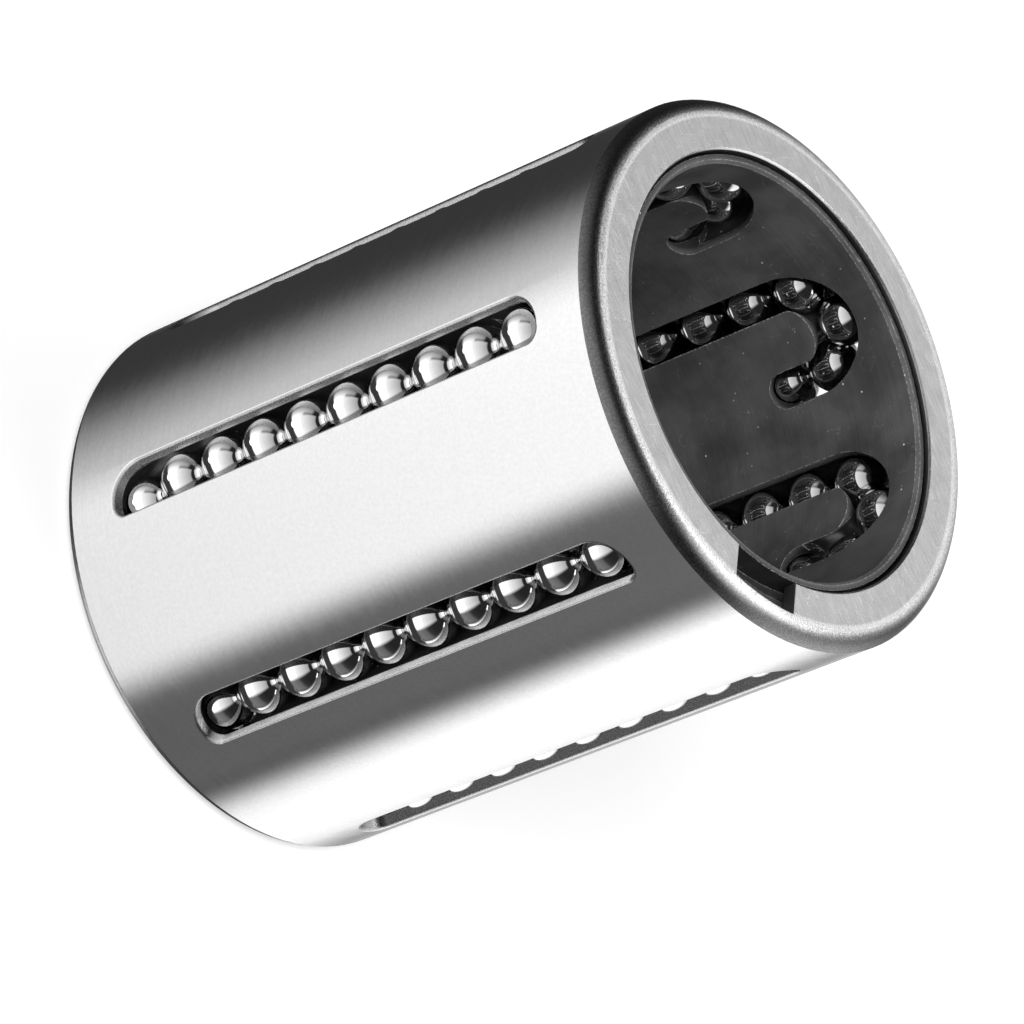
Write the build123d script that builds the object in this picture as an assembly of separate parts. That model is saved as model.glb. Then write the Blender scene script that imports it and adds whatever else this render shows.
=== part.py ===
from build123d import *
import math
import os

# Compact open linear ball bearing: a drawn steel sleeve with a window over every
# return row, a one-piece plastic cage, and closed circuits of loose steel balls.
# The origin is the middle of the bore axis. +Z runs along the axis to the notched end,
# and the notch lies at +X. Millimetres and degrees.

# Driving dimensions of the bearing
SHAFT_DIAMETER = 30.0
LENGTH = 50.0
BALL_DIAMETER = 3.969
CIRCUITS = 7

# Sleeve: sheet thickness, turned-in ends, rounded rims and the gap in the front flange
SLEEVE_WALL = 1.02
RIM_RADIUS = 1.46
RIM_DEPTH = 1.10
INNER_CORNER_RADIUS = 0.44
FLANGE_EDGE_BREAK = 0.12
NOTCH_WIDTH = 6.0
NOTCH_DEPTH = 2.5
RELIEF_DEPTH = 0.10
RELIEF_TAPER = 1.0
SEAM_ANGLE = 14.0

# Windows over the return rows: narrower than a ball, with two large and two tight corners
WINDOW_END_INSET = 5.15
WINDOW_HOLD = 0.269
WINDOW_TIGHT_CORNER = 1.0
WINDOW_END_FLAT = 0.2
WINDOW_EDGE_ROLL = 0.2

# Ball circuit: two straight rows joined by a half turn at each end
TURN_RADIUS = 3.25
TURN_END_INSET = 3.78
RETURN_LIFT = 0.765
DIVE_ANGLE = 45.0

# Cage: end lip, end groove and the slots through which the balls reach the shaft
LIP_THICKNESS = 0.6
LIP_RECESS = 0.4
LIP_CHAMFER = 0.22
GROOVE_WIDTH = 1.45
GROOVE_DEPTH = 1.1
CAGE_EDGE_RADIUS = 0.5
SLOT_WIDTH = 2.5
TURN_SLOT_WIDTH = 3.8
HOOK_LENGTH = 4.0
ENTRY_LENGTH = 2.4

# Clearances
BALL_PLAY = 0.011
TRACK_CLEARANCE = 0.10
SHAFT_CLEARANCE = 0.15
FLANGE_CLEARANCE = 0.25
CAGE_RADIAL_PLAY = 0.10
CAGE_END_PLAY = 0.10
BALL_GAP = 0.01
TURN_GAP = 0.03
JOIN_GAP = 0.08
LOADED_GAP = 0.281
LOADED_JOIN_GAP = 0.356

# Places of the balls: how many are in each turn, and where the first one is
FRONT_TURN_START = 8.0
REAR_TURN_START = 31.0
FRONT_TURN_BALLS = 3
REAR_TURN_BALLS = 2

# Sizes that follow from the ones above
ball_radius = BALL_DIAMETER / 2
loaded_radius = SHAFT_DIAMETER / 2 + ball_radius
return_radius = loaded_radius + RETURN_LIFT
raceway_radius = loaded_radius + ball_radius + BALL_PLAY
relief_radius = raceway_radius + RELIEF_DEPTH
outer_radius = raceway_radius + SLEEVE_WALL
half_length = LENGTH / 2
flange_inside = half_length - SLEEVE_WALL
row_half_length = flange_inside - TURN_END_INSET - TURN_RADIUS
track_radius = ball_radius + TRACK_CLEARANCE
cage_bore_radius = SHAFT_DIAMETER / 2 + SHAFT_CLEARANCE
cage_outer_radius = raceway_radius - CAGE_RADIAL_PLAY
cage_half_length = flange_inside - CAGE_END_PLAY
lip_end = half_length - LIP_RECESS
lip_radius = cage_bore_radius + LIP_THICKNESS
flange_bore_radius = lip_radius + FLANGE_CLEARANCE
notch_floor_radius = flange_bore_radius + NOTCH_DEPTH
window_length = LENGTH - 2 * WINDOW_END_INSET
window_width = BALL_DIAMETER - WINDOW_HOLD
window_large_corner = window_width - WINDOW_TIGHT_CORNER - WINDOW_END_FLAT
circuit_step = 360.0 / CIRCUITS
turn_step = 2 * math.degrees(math.asin((BALL_DIAMETER + TURN_GAP) / (2 * TURN_RADIUS)))
track_height = math.sqrt(loaded_radius**2 - TURN_RADIUS**2)
return_height = math.sqrt(return_radius**2 - TURN_RADIUS**2)
return_lag = math.degrees(math.asin(TURN_RADIUS / return_radius))


# Shared helpers
def circuit_place(number):
    """Local x runs round the bearing, y along its axis and z outwards at the circuit's middle."""
    angle = math.radians((number + 0.5) * circuit_step + return_lag)
    outward = (math.cos(angle), math.sin(angle), 0)
    around = (-math.sin(angle), math.cos(angle), 0)
    return Plane(origin=(0, 0, 0), x_dir=around, z_dir=outward).location


def window_place(number):
    """The same axes at the middle of a window, on the axis of the bearing."""
    angle = math.radians((number + 0.5) * circuit_step)
    outward = (math.cos(angle), math.sin(angle), 0)
    around = (-math.sin(angle), math.cos(angle), 0)
    return Plane(origin=(0, 0, 0), x_dir=around, z_dir=outward).location


def rim_point(angle, sign):
    """A point on the rounded rim of the sleeve, as radius and height."""
    centre_height = half_length - RIM_RADIUS
    centre_radius = outer_radius - math.sqrt(RIM_RADIUS**2 - (RIM_RADIUS - RIM_DEPTH) ** 2)
    x = centre_radius + RIM_RADIUS * math.cos(math.radians(angle))
    y = centre_height + RIM_RADIUS * math.sin(math.radians(angle))
    return (x, sign * y)


def corner_point(angle, sign):
    """A point on the inside corner of the drawn sheet, as radius and height."""
    x = relief_radius - INNER_CORNER_RADIUS * (1 - math.cos(math.radians(angle)))
    y = flange_inside - INNER_CORNER_RADIUS * (1 - math.sin(math.radians(angle)))
    return (x, sign * y)


# Sleeve
def sleeve_profile():
    """Half section of the drawn sleeve, with both ends turned inwards."""
    rim_end = math.degrees(math.asin((RIM_RADIUS - RIM_DEPTH) / RIM_RADIUS))
    rim_middle = (90 + rim_end) / 2
    relief_start = row_half_length
    race_end = relief_start - RELIEF_TAPER
    broken = flange_bore_radius + FLANGE_EDGE_BREAK
    with BuildSketch(Plane.XZ) as profile:
        with BuildLine():
            front = rim_point(90, 1)
            rear = rim_point(90, -1)
            Line((broken, half_length), front)
            ThreePointArc(front, rim_point(rim_middle, 1), rim_point(rim_end, 1))
            Line(rim_point(rim_end, 1), rim_point(rim_end, -1))
            ThreePointArc(rim_point(rim_end, -1), rim_point(rim_middle, -1), rear)
            Polyline(
                rear,
                (broken, -half_length),
                (flange_bore_radius, -half_length + FLANGE_EDGE_BREAK),
                (flange_bore_radius, -flange_inside),
                corner_point(90, -1),
            )
            ThreePointArc(corner_point(90, -1), corner_point(45, -1), corner_point(0, -1))
            Polyline(
                corner_point(0, -1),
                (relief_radius, -relief_start),
                (raceway_radius, -race_end),
                (raceway_radius, race_end),
                (relief_radius, relief_start),
                corner_point(0, 1),
            )
            ThreePointArc(corner_point(0, 1), corner_point(45, 1), corner_point(90, 1))
            Polyline(
                corner_point(90, 1),
                (flange_bore_radius, flange_inside),
                (flange_bore_radius, half_length - FLANGE_EDGE_BREAK),
                (broken, half_length),
            )
        make_face()
    return profile.sketch


def window_cutter():
    """One window, drawn on the tangent plane and cut outwards through the wall."""
    with BuildSketch() as outline:
        frame = Rectangle(window_width, window_length)
        large = [v for v in frame.vertices() if v.X < 0]
        fillet(large, window_large_corner)
        tight = [v for v in outline.vertices() if v.X > window_width / 2 - 1e-6]
        fillet(tight, WINDOW_TIGHT_CORNER)
    cut = extrude(outline.sketch, outer_radius)
    return Pos(0, 0, loaded_radius) * cut


def notch_cutter():
    """Parallel-sided gap in the front flange, closed by an arc inside the rim."""
    depth = SLEEVE_WALL + INNER_CORNER_RADIUS
    middle = half_length - depth / 2
    slot = Pos(notch_floor_radius / 2, 0, middle) * Box(notch_floor_radius, NOTCH_WIDTH, depth)
    floor = Pos(0, 0, middle) * Cylinder(notch_floor_radius, depth)
    return slot & floor


def is_window_edge(edge):
    """True for the edges that the windows leave on the outside of the sleeve."""
    middle = edge.position_at(0.5)
    on_outside = abs(math.hypot(middle.X, middle.Y) - outer_radius) < 1e-4
    return on_outside and edge.length < window_length


def make_sleeve():
    """Turned from the half section, which starts clear of the notch and of every window."""
    sleeve = revolve(Rot(0, 0, SEAM_ANGLE) * sleeve_profile(), Axis.Z, 360)
    windows = [window_place(number) * window_cutter() for number in range(CIRCUITS)]
    sleeve = sleeve - windows
    sleeve = fillet(sleeve.edges().filter_by(is_window_edge), WINDOW_EDGE_ROLL)
    return sleeve - notch_cutter()


# Cage
def cage_blank():
    """Turned shape of the cage: bore, end lips, end grooves and outer ring."""
    groove_edge = lip_radius + GROOVE_WIDTH
    groove_floor = cage_half_length - GROOVE_DEPTH
    upper = [
        (cage_bore_radius, lip_end - LIP_CHAMFER),
        (cage_bore_radius + LIP_CHAMFER, lip_end),
        (lip_radius, lip_end),
        (lip_radius, groove_floor),
        (groove_edge, groove_floor),
        (groove_edge, cage_half_length),
        (cage_outer_radius - CAGE_EDGE_RADIUS, cage_half_length),
        (cage_outer_radius, cage_half_length - CAGE_EDGE_RADIUS),
    ]
    lower = [(x, -z) for x, z in reversed(upper)]
    with BuildSketch(Plane.XZ) as profile:
        with BuildLine():
            Polyline(*upper, *lower, close=True)
        make_face()
    return revolve(profile.sketch, Axis.Z, 360)


def track_section(x, height):
    """Round-bottomed channel section, open outwards beyond the cage."""
    top = outer_radius
    bottom = (x, height - track_radius)
    with BuildSketch(Plane.XZ) as section:
        with BuildLine():
            ThreePointArc((x - track_radius, height), bottom, (x + track_radius, height))
            Polyline(
                (x + track_radius, height),
                (x + track_radius, top),
                (x - track_radius, top),
                (x - track_radius, height),
            )
        make_face()
    return section.sketch


def straight_track(x, height):
    return extrude(track_section(x, height), row_half_length, both=True)


def turn_track(sign):
    """Half turn from the loaded row to the return row, at one end of the circuit."""
    section = Pos(0, sign * row_half_length, 0) * track_section(TURN_RADIUS, track_height)
    pivot = Axis((0, sign * row_half_length, 0), (0, 0, sign))
    return revolve(section, pivot, 180)


def entry_track(sign):
    """The low end of the return row, where its balls climb out of the turn."""
    middle = sign * (row_half_length - ENTRY_LENGTH / 2)
    section = Pos(0, middle, 0) * track_section(-TURN_RADIUS, track_height)
    return extrude(section, ENTRY_LENGTH / 2, both=True)


def slot_outline():
    """Opening to the shaft: the loaded row, both turns and a short hook into the return row."""
    half = SLOT_WIDTH / 2
    half_turn = TURN_SLOT_WIDTH / 2
    stub = HOOK_LENGTH - half
    with BuildSketch() as outline:
        for sign in (1, -1):
            with Locations((0, sign * row_half_length)):
                Ellipse(TURN_RADIUS + half, TURN_RADIUS + half_turn)
        for sign in (1, -1):
            with Locations((0, sign * row_half_length)):
                Ellipse(TURN_RADIUS - half, TURN_RADIUS - half_turn, mode=Mode.SUBTRACT)
        full_width = 2 * (TURN_RADIUS + half)
        Rectangle(full_width, 2 * row_half_length, mode=Mode.SUBTRACT)
        with Locations((TURN_RADIUS, 0)):
            Rectangle(SLOT_WIDTH, 2 * row_half_length)
        for sign in (1, -1):
            with Locations((-TURN_RADIUS, sign * (row_half_length - stub / 2))):
                Rectangle(SLOT_WIDTH, stub)
            with Locations((-TURN_RADIUS, sign * (row_half_length - stub))):
                Circle(half)
    return outline.sketch


def make_cage():
    slot = Pos(0, 0, flange_bore_radius / 2) * extrude(slot_outline(), flange_bore_radius / 2)
    cutters = [
        straight_track(TURN_RADIUS, track_height),
        straight_track(-TURN_RADIUS, return_height),
        turn_track(1),
        turn_track(-1),
        entry_track(1),
        entry_track(-1),
        slot,
    ]
    cage = cage_blank()
    for number in range(CIRCUITS):
        place = circuit_place(number)
        cage = cage - [place * cutter for cutter in cutters]
    return cage


# Balls
def turn_ball(angle, sign):
    """Centre of a ball in a turn. The angle starts at the return row and ends at the loaded one."""
    x = -TURN_RADIUS * math.cos(math.radians(angle))
    y = sign * (row_half_length + TURN_RADIUS * math.sin(math.radians(angle)))
    share = max(0.0, 1.0 - angle / DIVE_ANGLE)
    lift = RETURN_LIFT * math.sin(math.radians(90 * share)) ** 2
    return (x, y, math.sqrt((loaded_radius + lift) ** 2 - x**2))


def spread(first, last, pitch):
    """Evenly spaced places from first to last, no closer than the pitch."""
    gaps = max(1, math.floor((first - last) / pitch))
    step = (first - last) / gaps
    return [first - step * i for i in range(gaps + 1)]


def circuit_balls():
    """Ball centres of one circuit in its own axes, by the group that moves together."""
    front = [turn_ball(FRONT_TURN_START + turn_step * i, 1) for i in range(FRONT_TURN_BALLS)]
    rear = [turn_ball(REAR_TURN_START + turn_step * i, -1) for i in range(REAR_TURN_BALLS)]
    join = BALL_DIAMETER + JOIN_GAP
    return_rows = spread(front[0][1] - join, rear[0][1] + join, BALL_DIAMETER + BALL_GAP)
    aside = TURN_RADIUS - rear[-1][0]
    loaded_last = rear[-1][1] + math.sqrt((BALL_DIAMETER + LOADED_JOIN_GAP) ** 2 - aside**2)
    loaded_pitch = BALL_DIAMETER + LOADED_GAP
    loaded_rows = spread(front[-1][1] - loaded_pitch, loaded_last, loaded_pitch)
    return {
        "loaded_balls": [(TURN_RADIUS, y, track_height) for y in loaded_rows],
        "return_balls": [(-TURN_RADIUS, y, return_height) for y in return_rows],
        "front_turn_balls": front,
        "rear_turn_balls": rear,
    }


def ball_group(centres, number):
    place = circuit_place(number)
    return Compound(children=[place * Pos(*centre) * Sphere(ball_radius) for centre in centres])


# One file for each sub-part
os.makedirs("parts", exist_ok=True)
export_step(make_sleeve(), "parts/outer_sleeve.step")
export_step(make_cage(), "parts/ball_cage.step")
for group, centres in circuit_balls().items():
    for number in range(CIRCUITS):
        export_step(ball_group(centres, number), f"parts/{group}_{number + 1}.step")
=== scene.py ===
import bpy
from mathutils import Matrix, Vector

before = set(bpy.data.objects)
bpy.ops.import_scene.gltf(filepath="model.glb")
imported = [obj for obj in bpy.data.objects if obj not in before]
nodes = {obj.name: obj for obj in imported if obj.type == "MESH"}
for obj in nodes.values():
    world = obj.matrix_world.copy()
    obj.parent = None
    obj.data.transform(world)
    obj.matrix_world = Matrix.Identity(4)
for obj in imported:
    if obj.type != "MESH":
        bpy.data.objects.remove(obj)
scene = bpy.context.scene
bpy.context.view_layer.update()

# Half the length of the bearing, in metres. It stands on end, with its middle at the origin.
HALF_LENGTH = 0.025

# Camera: a pinhole fitted to the outlines of the object, for an image of 1024 by 1024. The front
# pixel is where the middle of the front face shows, and the depth is that point's, in metres.
IMAGE_SIZE = 1024
SENSOR_WIDTH = 36.0
FOCAL_PIXELS = 6856.87
FRONT_PIXEL = (783.34, 369.26)
FRONT_DEPTH = 0.46949
CAMERA_RIGHT = Vector((-0.08804, 0.66284, 0.74357))
CAMERA_BACK = Vector((0.53744, -0.59689, 0.59572))
CAMERA_CLIP = (0.01, 50)

# Studio: soft cards round the object, seen from its middle. Each row is the azimuth from and to
# with the softness of each edge, the elevation from and to with the softness of both, in degrees,
# and the level of light at the foot and at the top of the card.
STUDIO_CARDS = (
    # The broad bright band along the middle of the side, and its weaker upper part
    (-113, -29, 12, 9, -42, 4, 4, 1.88, 0.95),
    (-106, -29, 6, 9, 4, 54, 3, 0.95, 0.40),
    # The grey slope above that band
    (-134, -113, 30, 12, -42, 38, 6, 1.25, 0.40),
    # The second bright band, low on the side
    (36, 90, 10, 22, -42, 46, 4, 2.0, 0.60),
    # A faint light in the dark band between the two
    (-24, 26, 6, 6, -42, -2, 8, 0.19, 0.08),
    # Both outlines of the side, and the front face
    (112, 142, 10, 8, -42, 58, 6, 0.75, 0.90),
    # Lights on the rim and on the balls inside the bore
    (30, 112, 5, 5, 44, 66, 4, 2.7, 2.7),
    (104, 170, 10, 10, 50, 64, 4, 1.6, 1.6),
    # Straight below
    (-180, 180, 1, 1, -120, -77, 3, 1.0, 1.0),
)
# Light between the cards, from the lower elevation to the upper one
FILL_ELEVATION = (-10, 30)
FILL_LIGHT = (0.045, 0.02)
BACKGROUND_WHITE = 1.0

# Key lamp: place and size in metres, power in watts. It lights the floor and the cage.
LAMP_PLACE = (0.25, -0.45, 0.7)
LAMP_SIZE = 0.5
LAMP_POWER = 5

# Floor, in metres. The glow is for the camera alone, so that the floor shows white.
FLOOR_HALF_WIDTH = 3.0
FLOOR_GAP = 0.00002
FLOOR_COLOUR = (0.8, 0.8, 0.8, 1)
FLOOR_GLOW = 0.40

# Where the finishes of the sleeve meet, in millimetres from its axis or up from its middle
OUTSIDE_RADIUS = (19.975, 19.985)
OUTSIDE_END = (23.885, 23.905)
FACE_HEIGHT = (24.95, 24.99)
RIM_RADIUS = (18.62, 18.86)
OUTER_RIM_RADIUS = (18.9, 19.5)
# A painted highlight: a brighter line where the rim meets the end face
RIM_HIGHLIGHT_RADIUS = (18.36, 18.74)
RIM_HIGHLIGHT_SOFTNESS = 0.10
WINDOW_END = (20.5, 20.6)
SHEET_INSIDE_RADIUS = (19.02, 19.06)
BORE_EDGE_RADIUS = (16.12, 16.15)
BORE_EDGE_HEIGHT = (24.85, 24.87)

# Base colours, as levels of grey
GROUND_GREY = 0.74
FACE_GREY = 0.58
WALL_GREY = 0.50
INNER_RIM_GREY = 0.62
# Painted shade: the outer half of the front rim is far darker than the rear's, for the dark
# reflections it shows
FRONT_RIM_PAINTED_SHADE = 0.19
REAR_RIM_GREY = 0.70
CAGE_GREY = (0.075, 0.145)
BALL_GREY = 0.86

# Roughness
GROUND_ROUGHNESS = 0.23
FACE_ROUGHNESS = 0.36
RIM_ROUGHNESS = 0.30
WALL_ROUGHNESS = 0.26
CAGE_ROUGHNESS = (0.34, 0.42)
BALL_ROUGHNESS = 0.05

# Heights of the bumps and radii of the softened edges, in metres
GROUND_BUMP = 0.0000006
SATIN_BUMP = 0.00003
CAGE_BUMP = 0.000008
STEEL_EDGE = 0.00008
CAGE_EDGE = 0.0001

# How far the walls of the windows lean outwards, where the punch rolled the sheet
WALL_ROLL = 0.75

# Scratches on the end faces: the angle in radians, the scale along and across, and the level of
# the noise from which it counts as a scratch
SCRATCHES = (
    (-0.95, 0.5, 10, 0.58),
    (-0.35, 0.8, 9, 0.60),
    (1.1, 0.4, 8, 0.61),
)
RUB_ANGLE = -0.785

# Painted shade darkens the cage in its tracks, away from the shaft: from and to, in millimetres
# from its axis, and the share of its grey that is left there
CAGE_SHADED_RADIUS = (15.25, 15.75)
CAGE_SHADED_SHARE = 0.30
CAGE_IOR = 1.42

# A noise mostly keeps within these levels
NOISE_LOW = 0.3
NOISE_HIGH = 0.7


class Graph:
    """Short calls for building a node tree."""

    def __init__(self, tree):
        self.tree = tree
        tree.nodes.clear()

    def add(self, kind, inputs=None, **settings):
        node = self.tree.nodes.new(kind)
        for name, value in settings.items():
            setattr(node, name, value)
        for name, value in (inputs or {}).items():
            self.put(node.inputs[name], value)
        return node

    def put(self, socket, value):
        if isinstance(value, bpy.types.NodeSocket):
            self.tree.links.new(value, socket)
        else:
            socket.default_value = value

    def finish(self, shader, target="ShaderNodeOutputMaterial"):
        self.add(target, {"Surface": shader})

    # Numbers

    def math(self, operation, *values):
        return self.add("ShaderNodeMath", dict(enumerate(values)), operation=operation).outputs[0]

    def chain(self, operation, values):
        result = values[0]
        for value in values[1:]:
            result = self.math(operation, result, value)
        return result

    def total(self, *values):
        return self.chain("ADD", values)

    def product(self, *values):
        return self.chain("MULTIPLY", values)

    def rest(self, share):
        """What the share leaves of 1."""
        return self.math("SUBTRACT", 1.0, share)

    def mix(self, share, a, b):
        inputs = {0: share, 2: a, 3: b}
        return self.add("ShaderNodeMix", inputs, data_type="FLOAT").outputs[0]

    def span(self, value, low, high, start=0.0, end=1.0, smooth=True):
        """Runs from start to end while value runs from low to high."""
        inputs = {
            "Value": value, "From Min": low, "From Max": high, "To Min": start, "To Max": end,
        }
        kind = "SMOOTHSTEP" if smooth else "LINEAR"
        node = self.add("ShaderNodeMapRange", inputs, interpolation_type=kind)
        return node.outputs["Result"]

    def fall(self, value, low, high):
        """1 below low, and 0 above high."""
        return self.span(value, low, high, 1.0, 0.0)

    def between(self, value, low, high, soft_low, soft_high):
        """1 between low and high, and 0 outside, with a soft edge at each."""
        rise = self.span(value, low - soft_low, low + soft_low)
        fall = self.fall(value, high - soft_high, high + soft_high)
        return self.product(rise, fall)

    # Vectors

    def vectors(self, operation, *values):
        inputs = dict(enumerate(values))
        return self.add("ShaderNodeVectorMath", inputs, operation=operation).outputs

    def scaled(self, vector, x, y, z):
        return self.vectors("MULTIPLY", vector, (x, y, z))[0]

    def turned(self, vector, angle):
        """The vector turned round the axis by the angle, in radians."""
        inputs = {"Vector": vector, "Angle": angle}
        node = self.add("ShaderNodeVectorRotate", inputs, rotation_type="Z_AXIS")
        return node.outputs[0]

    def coordinates(self, vector):
        return self.add("ShaderNodeSeparateXYZ", {0: vector}).outputs

    def millimetres(self):
        """The place on the object, in millimetres."""
        place = self.add("ShaderNodeTexCoord").outputs["Object"]
        return self.scaled(place, 1000, 1000, 1000)

    def radius(self, place):
        """How far the place is from the axis."""
        return self.vectors("LENGTH", self.scaled(place, 1, 1, 0))["Value"]

    def leaned(self, normal, place, amount):
        """The normal leaned away from the axis by the amount."""
        outward = self.vectors("NORMALIZE", self.scaled(place, 1, 1, 0))[0]
        inputs = {0: outward, "Scale": amount}
        lean = self.add("ShaderNodeVectorMath", inputs, operation="SCALE").outputs[0]
        return self.vectors("NORMALIZE", self.vectors("ADD", normal, lean)[0])[0]

    # Patterns

    def noise(self, vector, scale=1.0, detail=2.0, roughness=0.5):
        inputs = {"Vector": vector, "Scale": scale, "Detail": detail, "Roughness": roughness}
        return self.add("ShaderNodeTexNoise", inputs).outputs["Fac"]

    def spread(self, noise, low, high):
        """A noise spread over the levels from low to high."""
        return self.span(noise, NOISE_LOW, NOISE_HIGH, low, high)

    def swing(self, noise, amount):
        """A noise as a change of up to the amount, up or down."""
        return self.spread(noise, -amount, amount)

    def scratches(self, place, angle, along, across, level):
        """Fine straight scratches: 1 on a scratch. Angle in radians round the axis."""
        stretched = self.scaled(self.turned(place, angle), along, across, 1)
        field = self.noise(stretched, detail=3, roughness=0.6)
        return self.span(field, level, level + 0.06)

    def specks(self, place, scale, size, share):
        """Scattered specks: 1 on a speck, in a share of the cells."""
        inputs = {"Vector": place, "Scale": scale}
        cell = self.add("ShaderNodeTexVoronoi", inputs, feature="F1").outputs
        chance = self.add("ShaderNodeSeparateColor", {0: cell["Color"]}).outputs[0]
        dot = self.fall(cell["Distance"], size / 2, size)
        return self.product(dot, self.math("LESS_THAN", chance, share))

    # Surfaces

    def grey(self, level):
        return self.add("ShaderNodeCombineColor", {0: level, 1: level, 2: level}).outputs[0]

    def rounded(self, radius):
        """Normal with the sharp edges rounded, and how far a place lies on such an edge."""
        soft = self.add("ShaderNodeBevel", {"Radius": radius}, samples=4).outputs[0]
        flat = self.add("ShaderNodeNewGeometry").outputs["Normal"]
        same = self.vectors("DOT_PRODUCT", soft, flat)["Value"]
        return soft, self.fall(same, 0.90, 0.995)

    def bump(self, height, distance, strength, normal=None):
        inputs = {"Height": height, "Strength": strength, "Distance": distance}
        if normal is not None:
            inputs["Normal"] = normal
        return self.add("ShaderNodeBump", inputs).outputs["Normal"]

    def principled(self, inputs):
        return self.add("ShaderNodeBsdfPrincipled", inputs).outputs[0]


def make_camera():
    back = CAMERA_BACK.normalized()
    up = back.cross(CAMERA_RIGHT).normalized()
    right = up.cross(back)
    across = (FRONT_PIXEL[0] - IMAGE_SIZE / 2) / FOCAL_PIXELS
    above = (IMAGE_SIZE / 2 - FRONT_PIXEL[1]) / FOCAL_PIXELS
    front_centre = Vector((0, 0, HALF_LENGTH))
    ray = right * across + up * above - back
    data = bpy.data.cameras.new("camera")
    data.sensor_width = SENSOR_WIDTH
    data.lens = FOCAL_PIXELS / IMAGE_SIZE * SENSOR_WIDTH
    data.clip_start, data.clip_end = CAMERA_CLIP
    camera = bpy.data.objects.new("camera", data)
    scene.collection.objects.link(camera)
    turn = Matrix((right, up, back)).transposed().to_4x4()
    camera.matrix_world = Matrix.Translation(front_centre - ray * FRONT_DEPTH) @ turn
    scene.camera = camera


def studio_card(g, azimuth, elevation, card):
    """The light of one card in the direction of the azimuth and elevation."""
    left, right, soft_left, soft_right, foot, top, soft, low, high = card
    middle = (left + right) / 2
    half = (right - left) / 2
    across = g.math("WRAP", g.math("SUBTRACT", azimuth, middle), 180, -180)
    wide = g.between(across, -half, half, soft_left, soft_right)
    tall = g.between(elevation, foot, top, soft, soft)
    return g.product(wide, tall, g.span(elevation, foot, top, low, high, smooth=False))


def make_world():
    """The studio, which lights the object and shows in it, and plain white for the camera."""
    world = bpy.data.worlds.new("studio")
    scene.world = world
    world.use_nodes = True
    g = Graph(world.node_tree)
    direction = g.coordinates(g.add("ShaderNodeTexCoord").outputs["Generated"])
    azimuth = g.math("DEGREES", g.math("ARCTAN2", direction[1], direction[0]))
    elevation = g.math("DEGREES", g.math("ARCSINE", direction[2]))
    fill = g.span(elevation, *FILL_ELEVATION, *FILL_LIGHT)
    cards = [studio_card(g, azimuth, elevation, card) for card in STUDIO_CARDS]
    path = g.add("ShaderNodeLightPath").outputs
    shown = g.mix(path["Is Camera Ray"], g.total(fill, *cards), BACKGROUND_WHITE)
    background = g.add("ShaderNodeBackground", {"Color": shown}).outputs[0]
    g.finish(background, "ShaderNodeOutputWorld")


def make_lamp():
    data = bpy.data.lights.new("key_lamp", "AREA")
    data.size = LAMP_SIZE
    data.energy = LAMP_POWER
    lamp = bpy.data.objects.new("key_lamp", data)
    scene.collection.objects.link(lamp)
    turn = (-Vector(LAMP_PLACE)).to_track_quat("-Z", "Y").to_matrix().to_4x4()
    lamp.matrix_world = Matrix.Translation(LAMP_PLACE) @ turn
    lamp.visible_glossy = False


def new_material(name):
    material = bpy.data.materials.new(name)
    material.use_nodes = True
    return material, Graph(material.node_tree)


def make_floor():
    """A pale matte floor that keeps the shadow. The metal mirrors the studio in its place."""
    mesh = bpy.data.meshes.new("floor")
    signs = ((-1, -1), (1, -1), (1, 1), (-1, 1))
    level = -HALF_LENGTH - FLOOR_GAP
    corners = [(x * FLOOR_HALF_WIDTH, y * FLOOR_HALF_WIDTH, level) for x, y in signs]
    mesh.from_pydata(corners, [], [(0, 1, 2, 3)])
    floor = bpy.data.objects.new("floor", mesh)
    scene.collection.objects.link(floor)
    material, g = new_material("floor")
    matte = g.add("ShaderNodeBsdfDiffuse", {"Color": FLOOR_COLOUR}).outputs[0]
    path = g.add("ShaderNodeLightPath").outputs
    glow = g.product(path["Is Camera Ray"], FLOOR_GLOW)
    lift = g.add("ShaderNodeEmission", {"Strength": glow}).outputs[0]
    g.finish(g.add("ShaderNodeAddShader", {0: matte, 1: lift}).outputs[0])
    mesh.materials.append(material)
    floor.visible_glossy = False


def ground_steel(g, place):
    """The ground outside: very fine lines round the cylinder, and faint clouds."""
    lines = g.noise(g.scaled(place, 0.12, 0.12, 16), detail=3, roughness=0.6)
    cloud = g.noise(g.scaled(place, 0.5, 0.5, 1.2), detail=4, roughness=0.6)
    mottle = g.noise(place, scale=4.0, detail=3)
    shade = g.total(
        GROUND_GREY, g.swing(lines, 0.018), g.swing(cloud, 0.018), g.swing(mottle, 0.020),
    )
    return g.principled({
        "Base Color": g.grey(shade),
        "Metallic": 1.0,
        "Roughness": g.total(GROUND_ROUGHNESS, g.swing(lines, 0.008), g.swing(cloud, 0.012)),
        "Anisotropic": 0.8,
        "Anisotropic Rotation": 0.25,
        "Normal": g.bump(lines, GROUND_BUMP, 0.5),
        "Tangent": g.add("ShaderNodeTangent", direction_type="RADIAL", axis="Z").outputs[0],
    })


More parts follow.
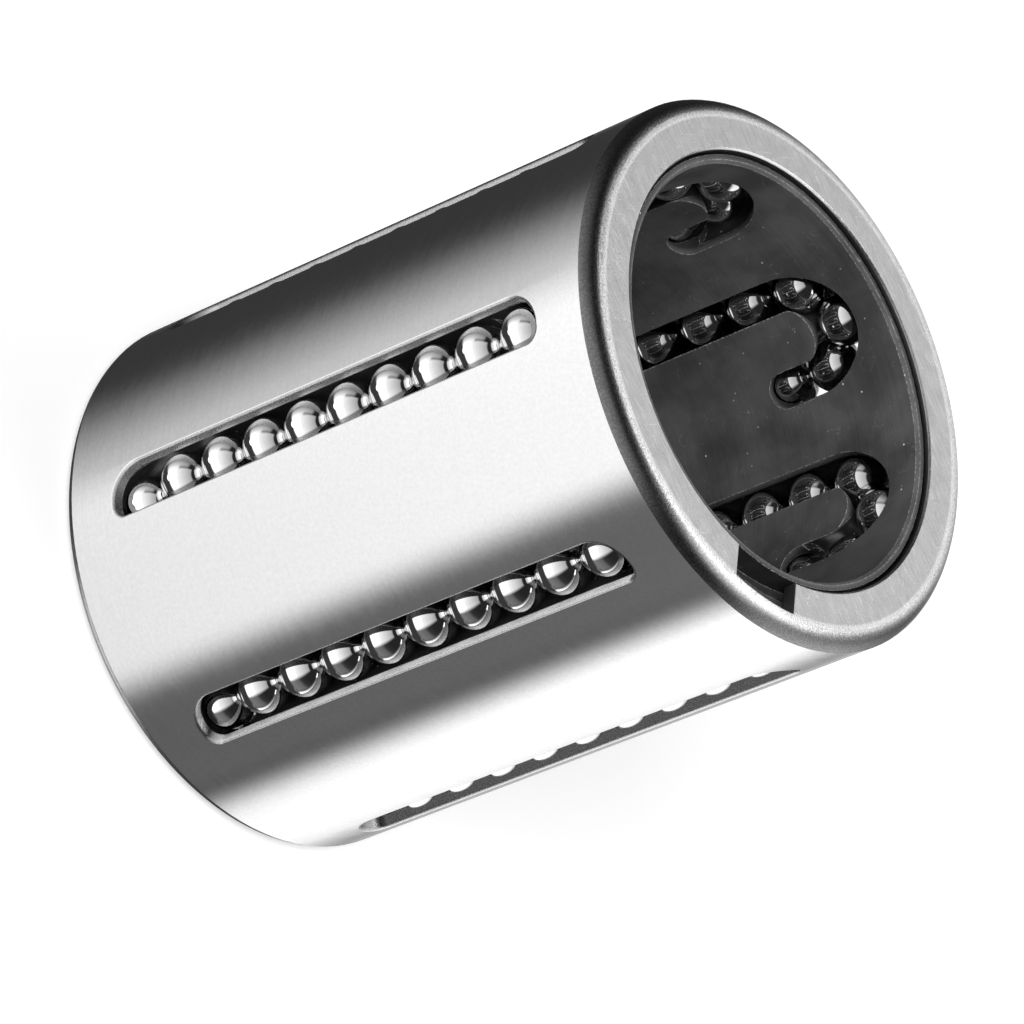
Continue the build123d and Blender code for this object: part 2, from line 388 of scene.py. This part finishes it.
def satin_steel(g, place, below_rim):
    """Everything else on the sleeve: satin end faces, tumbled rims and punched window walls."""
    radius = g.radius(place)
    height = g.coordinates(place)[2]
    tall = g.math("ABSOLUTE", height)
    above = g.rest(below_rim)
    end = g.span(tall, *FACE_HEIGHT)
    on_rim = g.product(g.span(radius, *RIM_RADIUS), above)
    outer_rim = g.span(radius, *OUTER_RIM_RADIUS)
    rim_highlight = g.product(
        g.between(radius, *RIM_HIGHLIGHT_RADIUS, RIM_HIGHLIGHT_SOFTNESS, RIM_HIGHLIGHT_SOFTNESS), above,
    )
    window_wall = g.product(g.fall(tall, *WINDOW_END), g.span(radius, *SHEET_INSIDE_RADIUS))
    bore_edge = g.product(g.fall(radius, *BORE_EDGE_RADIUS), g.span(tall, *BORE_EDGE_HEIGHT))
    front = g.math("GREATER_THAN", height, 0.0)
    edge_normal, on_edge = g.rounded(STEEL_EDGE)

    grain = g.noise(place, scale=11.0, detail=4, roughness=0.7)
    pitted = g.noise(place, scale=7.0, detail=4, roughness=0.65)
    patches = g.noise(place, scale=0.8, detail=3)
    rubbed = g.noise(g.scaled(g.turned(place, RUB_ANGLE), 0.35, 9, 1), detail=4, roughness=0.7)
    marks = g.total(*(g.scratches(place, *row) for row in SCRATCHES))

    face = g.total(
        FACE_GREY,
        g.swing(grain, 0.06),
        g.swing(patches, 0.03),
        g.product(end, g.swing(rubbed, 0.09)),
        g.product(marks, end, 0.22),
        # Painted highlight: a brighter band round the edge of the bore
        g.product(bore_edge, 0.30),
        # Painted highlight: paler colour along the sharp edges
        g.product(on_edge, 0.15),
    )
    rim = g.total(
        # Painted shade on the outer half of the front rim
        g.mix(outer_rim, INNER_RIM_GREY, g.mix(front, REAR_RIM_GREY, FRONT_RIM_PAINTED_SHADE)),
        g.product(g.span(pitted, 0.44, 0.62), g.mix(outer_rim, 0.34, 0.08)),
        g.swing(grain, 0.03),
    )
    wall = g.total(WALL_GREY, g.swing(grain, 0.11))
    shade = g.total(
        g.mix(window_wall, g.mix(on_rim, face, rim), wall),
        # Painted highlight along the rim's inner edge, speckled
        g.product(rim_highlight, g.total(0.12, g.product(g.span(pitted, 0.40, 0.60), 0.28))),
    )
    rough = g.total(
        g.mix(window_wall, g.mix(on_rim, FACE_ROUGHNESS, RIM_ROUGHNESS), WALL_ROUGHNESS),
        g.swing(grain, 0.05),
        g.product(marks, end, -0.08),
        g.product(bore_edge, -0.12),
    )
    bumps = g.total(
        g.product(pitted, g.mix(on_rim, 0.10, g.mix(outer_rim, 0.60, 0.25))),
        g.product(grain, g.mix(window_wall, 0.25, 0.6)),
        g.product(end, g.total(g.product(rubbed, 0.30), g.product(marks, -0.25))),
    )
    rolled = g.leaned(edge_normal, place, g.product(window_wall, WALL_ROLL))
    return g.principled({
        "Base Color": g.grey(shade),
        "Metallic": 1.0,
        "Roughness": rough,
        "Normal": g.bump(bumps, SATIN_BUMP, 0.8, rolled),
    })


def sleeve_material():
    material, g = new_material("sleeve_steel")
    place = g.millimetres()
    below_rim = g.fall(g.math("ABSOLUTE", g.coordinates(place)[2]), *OUTSIDE_END)
    ground = g.product(g.span(g.radius(place), *OUTSIDE_RADIUS), below_rim)
    inputs = {0: ground, 1: satin_steel(g, place, below_rim), 2: ground_steel(g, place)}
    g.finish(g.add("ShaderNodeMixShader", inputs).outputs[0])
    return material


def cage_material():
    """Dark moulded plastic: hazy, with flow lines, dust, hair scuffs and a painted highlight
    along its edges.
    """
    material, g = new_material("cage_plastic")
    place = g.millimetres()
    edge_normal, on_edge = g.rounded(CAGE_EDGE)
    grain = g.noise(place, scale=14, detail=4, roughness=0.6)
    haze = g.noise(place, scale=0.22, detail=4, roughness=0.55)
    dust = g.total(g.specks(place, 1.1, 0.10, 0.12), g.specks(place, 3.0, 0.16, 0.03))
    moulded = g.noise(g.scaled(place, 0.10, 0.10, 11), detail=3, roughness=0.6)
    hair = g.between(g.noise(place, scale=0.9), 0.498, 0.502, 0.004, 0.004)
    scuffed = g.product(hair, g.span(g.noise(place, scale=0.6), 0.58, 0.64))
    # Painted highlight: paler colour along the sharp edges, broken up by noise
    edge_highlight = g.product(on_edge, g.span(g.noise(place, scale=5.0, detail=3), 0.40, 0.62))
    # Painted shade: the cage darker away from the shaft, in its tracks
    track_shade = g.span(g.radius(place), *CAGE_SHADED_RADIUS, 1.0, CAGE_SHADED_SHARE)
    dark = g.total(g.spread(haze, *CAGE_GREY), g.swing(grain, 0.006), g.swing(moulded, 0.010))
    shade = g.total(
        g.product(dark, track_shade),
        g.product(dust, 0.80),
        g.product(scuffed, 0.28),
        g.product(edge_highlight, 0.55),
    )
    bumps = g.total(grain, g.product(moulded, 0.6))
    g.finish(g.principled({
        "Base Color": g.grey(shade),
        "Roughness": g.total(g.spread(haze, *CAGE_ROUGHNESS), g.swing(grain, 0.04)),
        "IOR": CAGE_IOR,
        "Normal": g.bump(bumps, CAGE_BUMP, 0.4, edge_normal),
    }))
    return material


def ball_material():
    """Polished steel under a thin uneven film."""
    material, g = new_material("ball_steel")
    place = g.millimetres()
    film = g.noise(place, scale=1.1, detail=3)
    smudge = g.noise(place, scale=5.0, detail=3)
    g.finish(g.principled({
        "Base Color": g.grey(g.total(BALL_GREY, g.swing(film, 0.03))),
        "Metallic": 1.0,
        "Roughness": g.total(BALL_ROUGHNESS, g.swing(film, 0.015), g.swing(smudge, 0.01)),
    }))
    return material


def dress():
    """Gives each CAD node its finish, through its own material slots."""
    finishes = {"outer_sleeve": sleeve_material(), "ball_cage": cage_material()}
    balls = ball_material()
    for name, node in nodes.items():
        for slot in node.material_slots:
            slot.material = finishes.get(name, balls)


make_camera()
make_world()
make_floor()
make_lamp()
dress()

scene.view_settings.view_transform = "Standard"
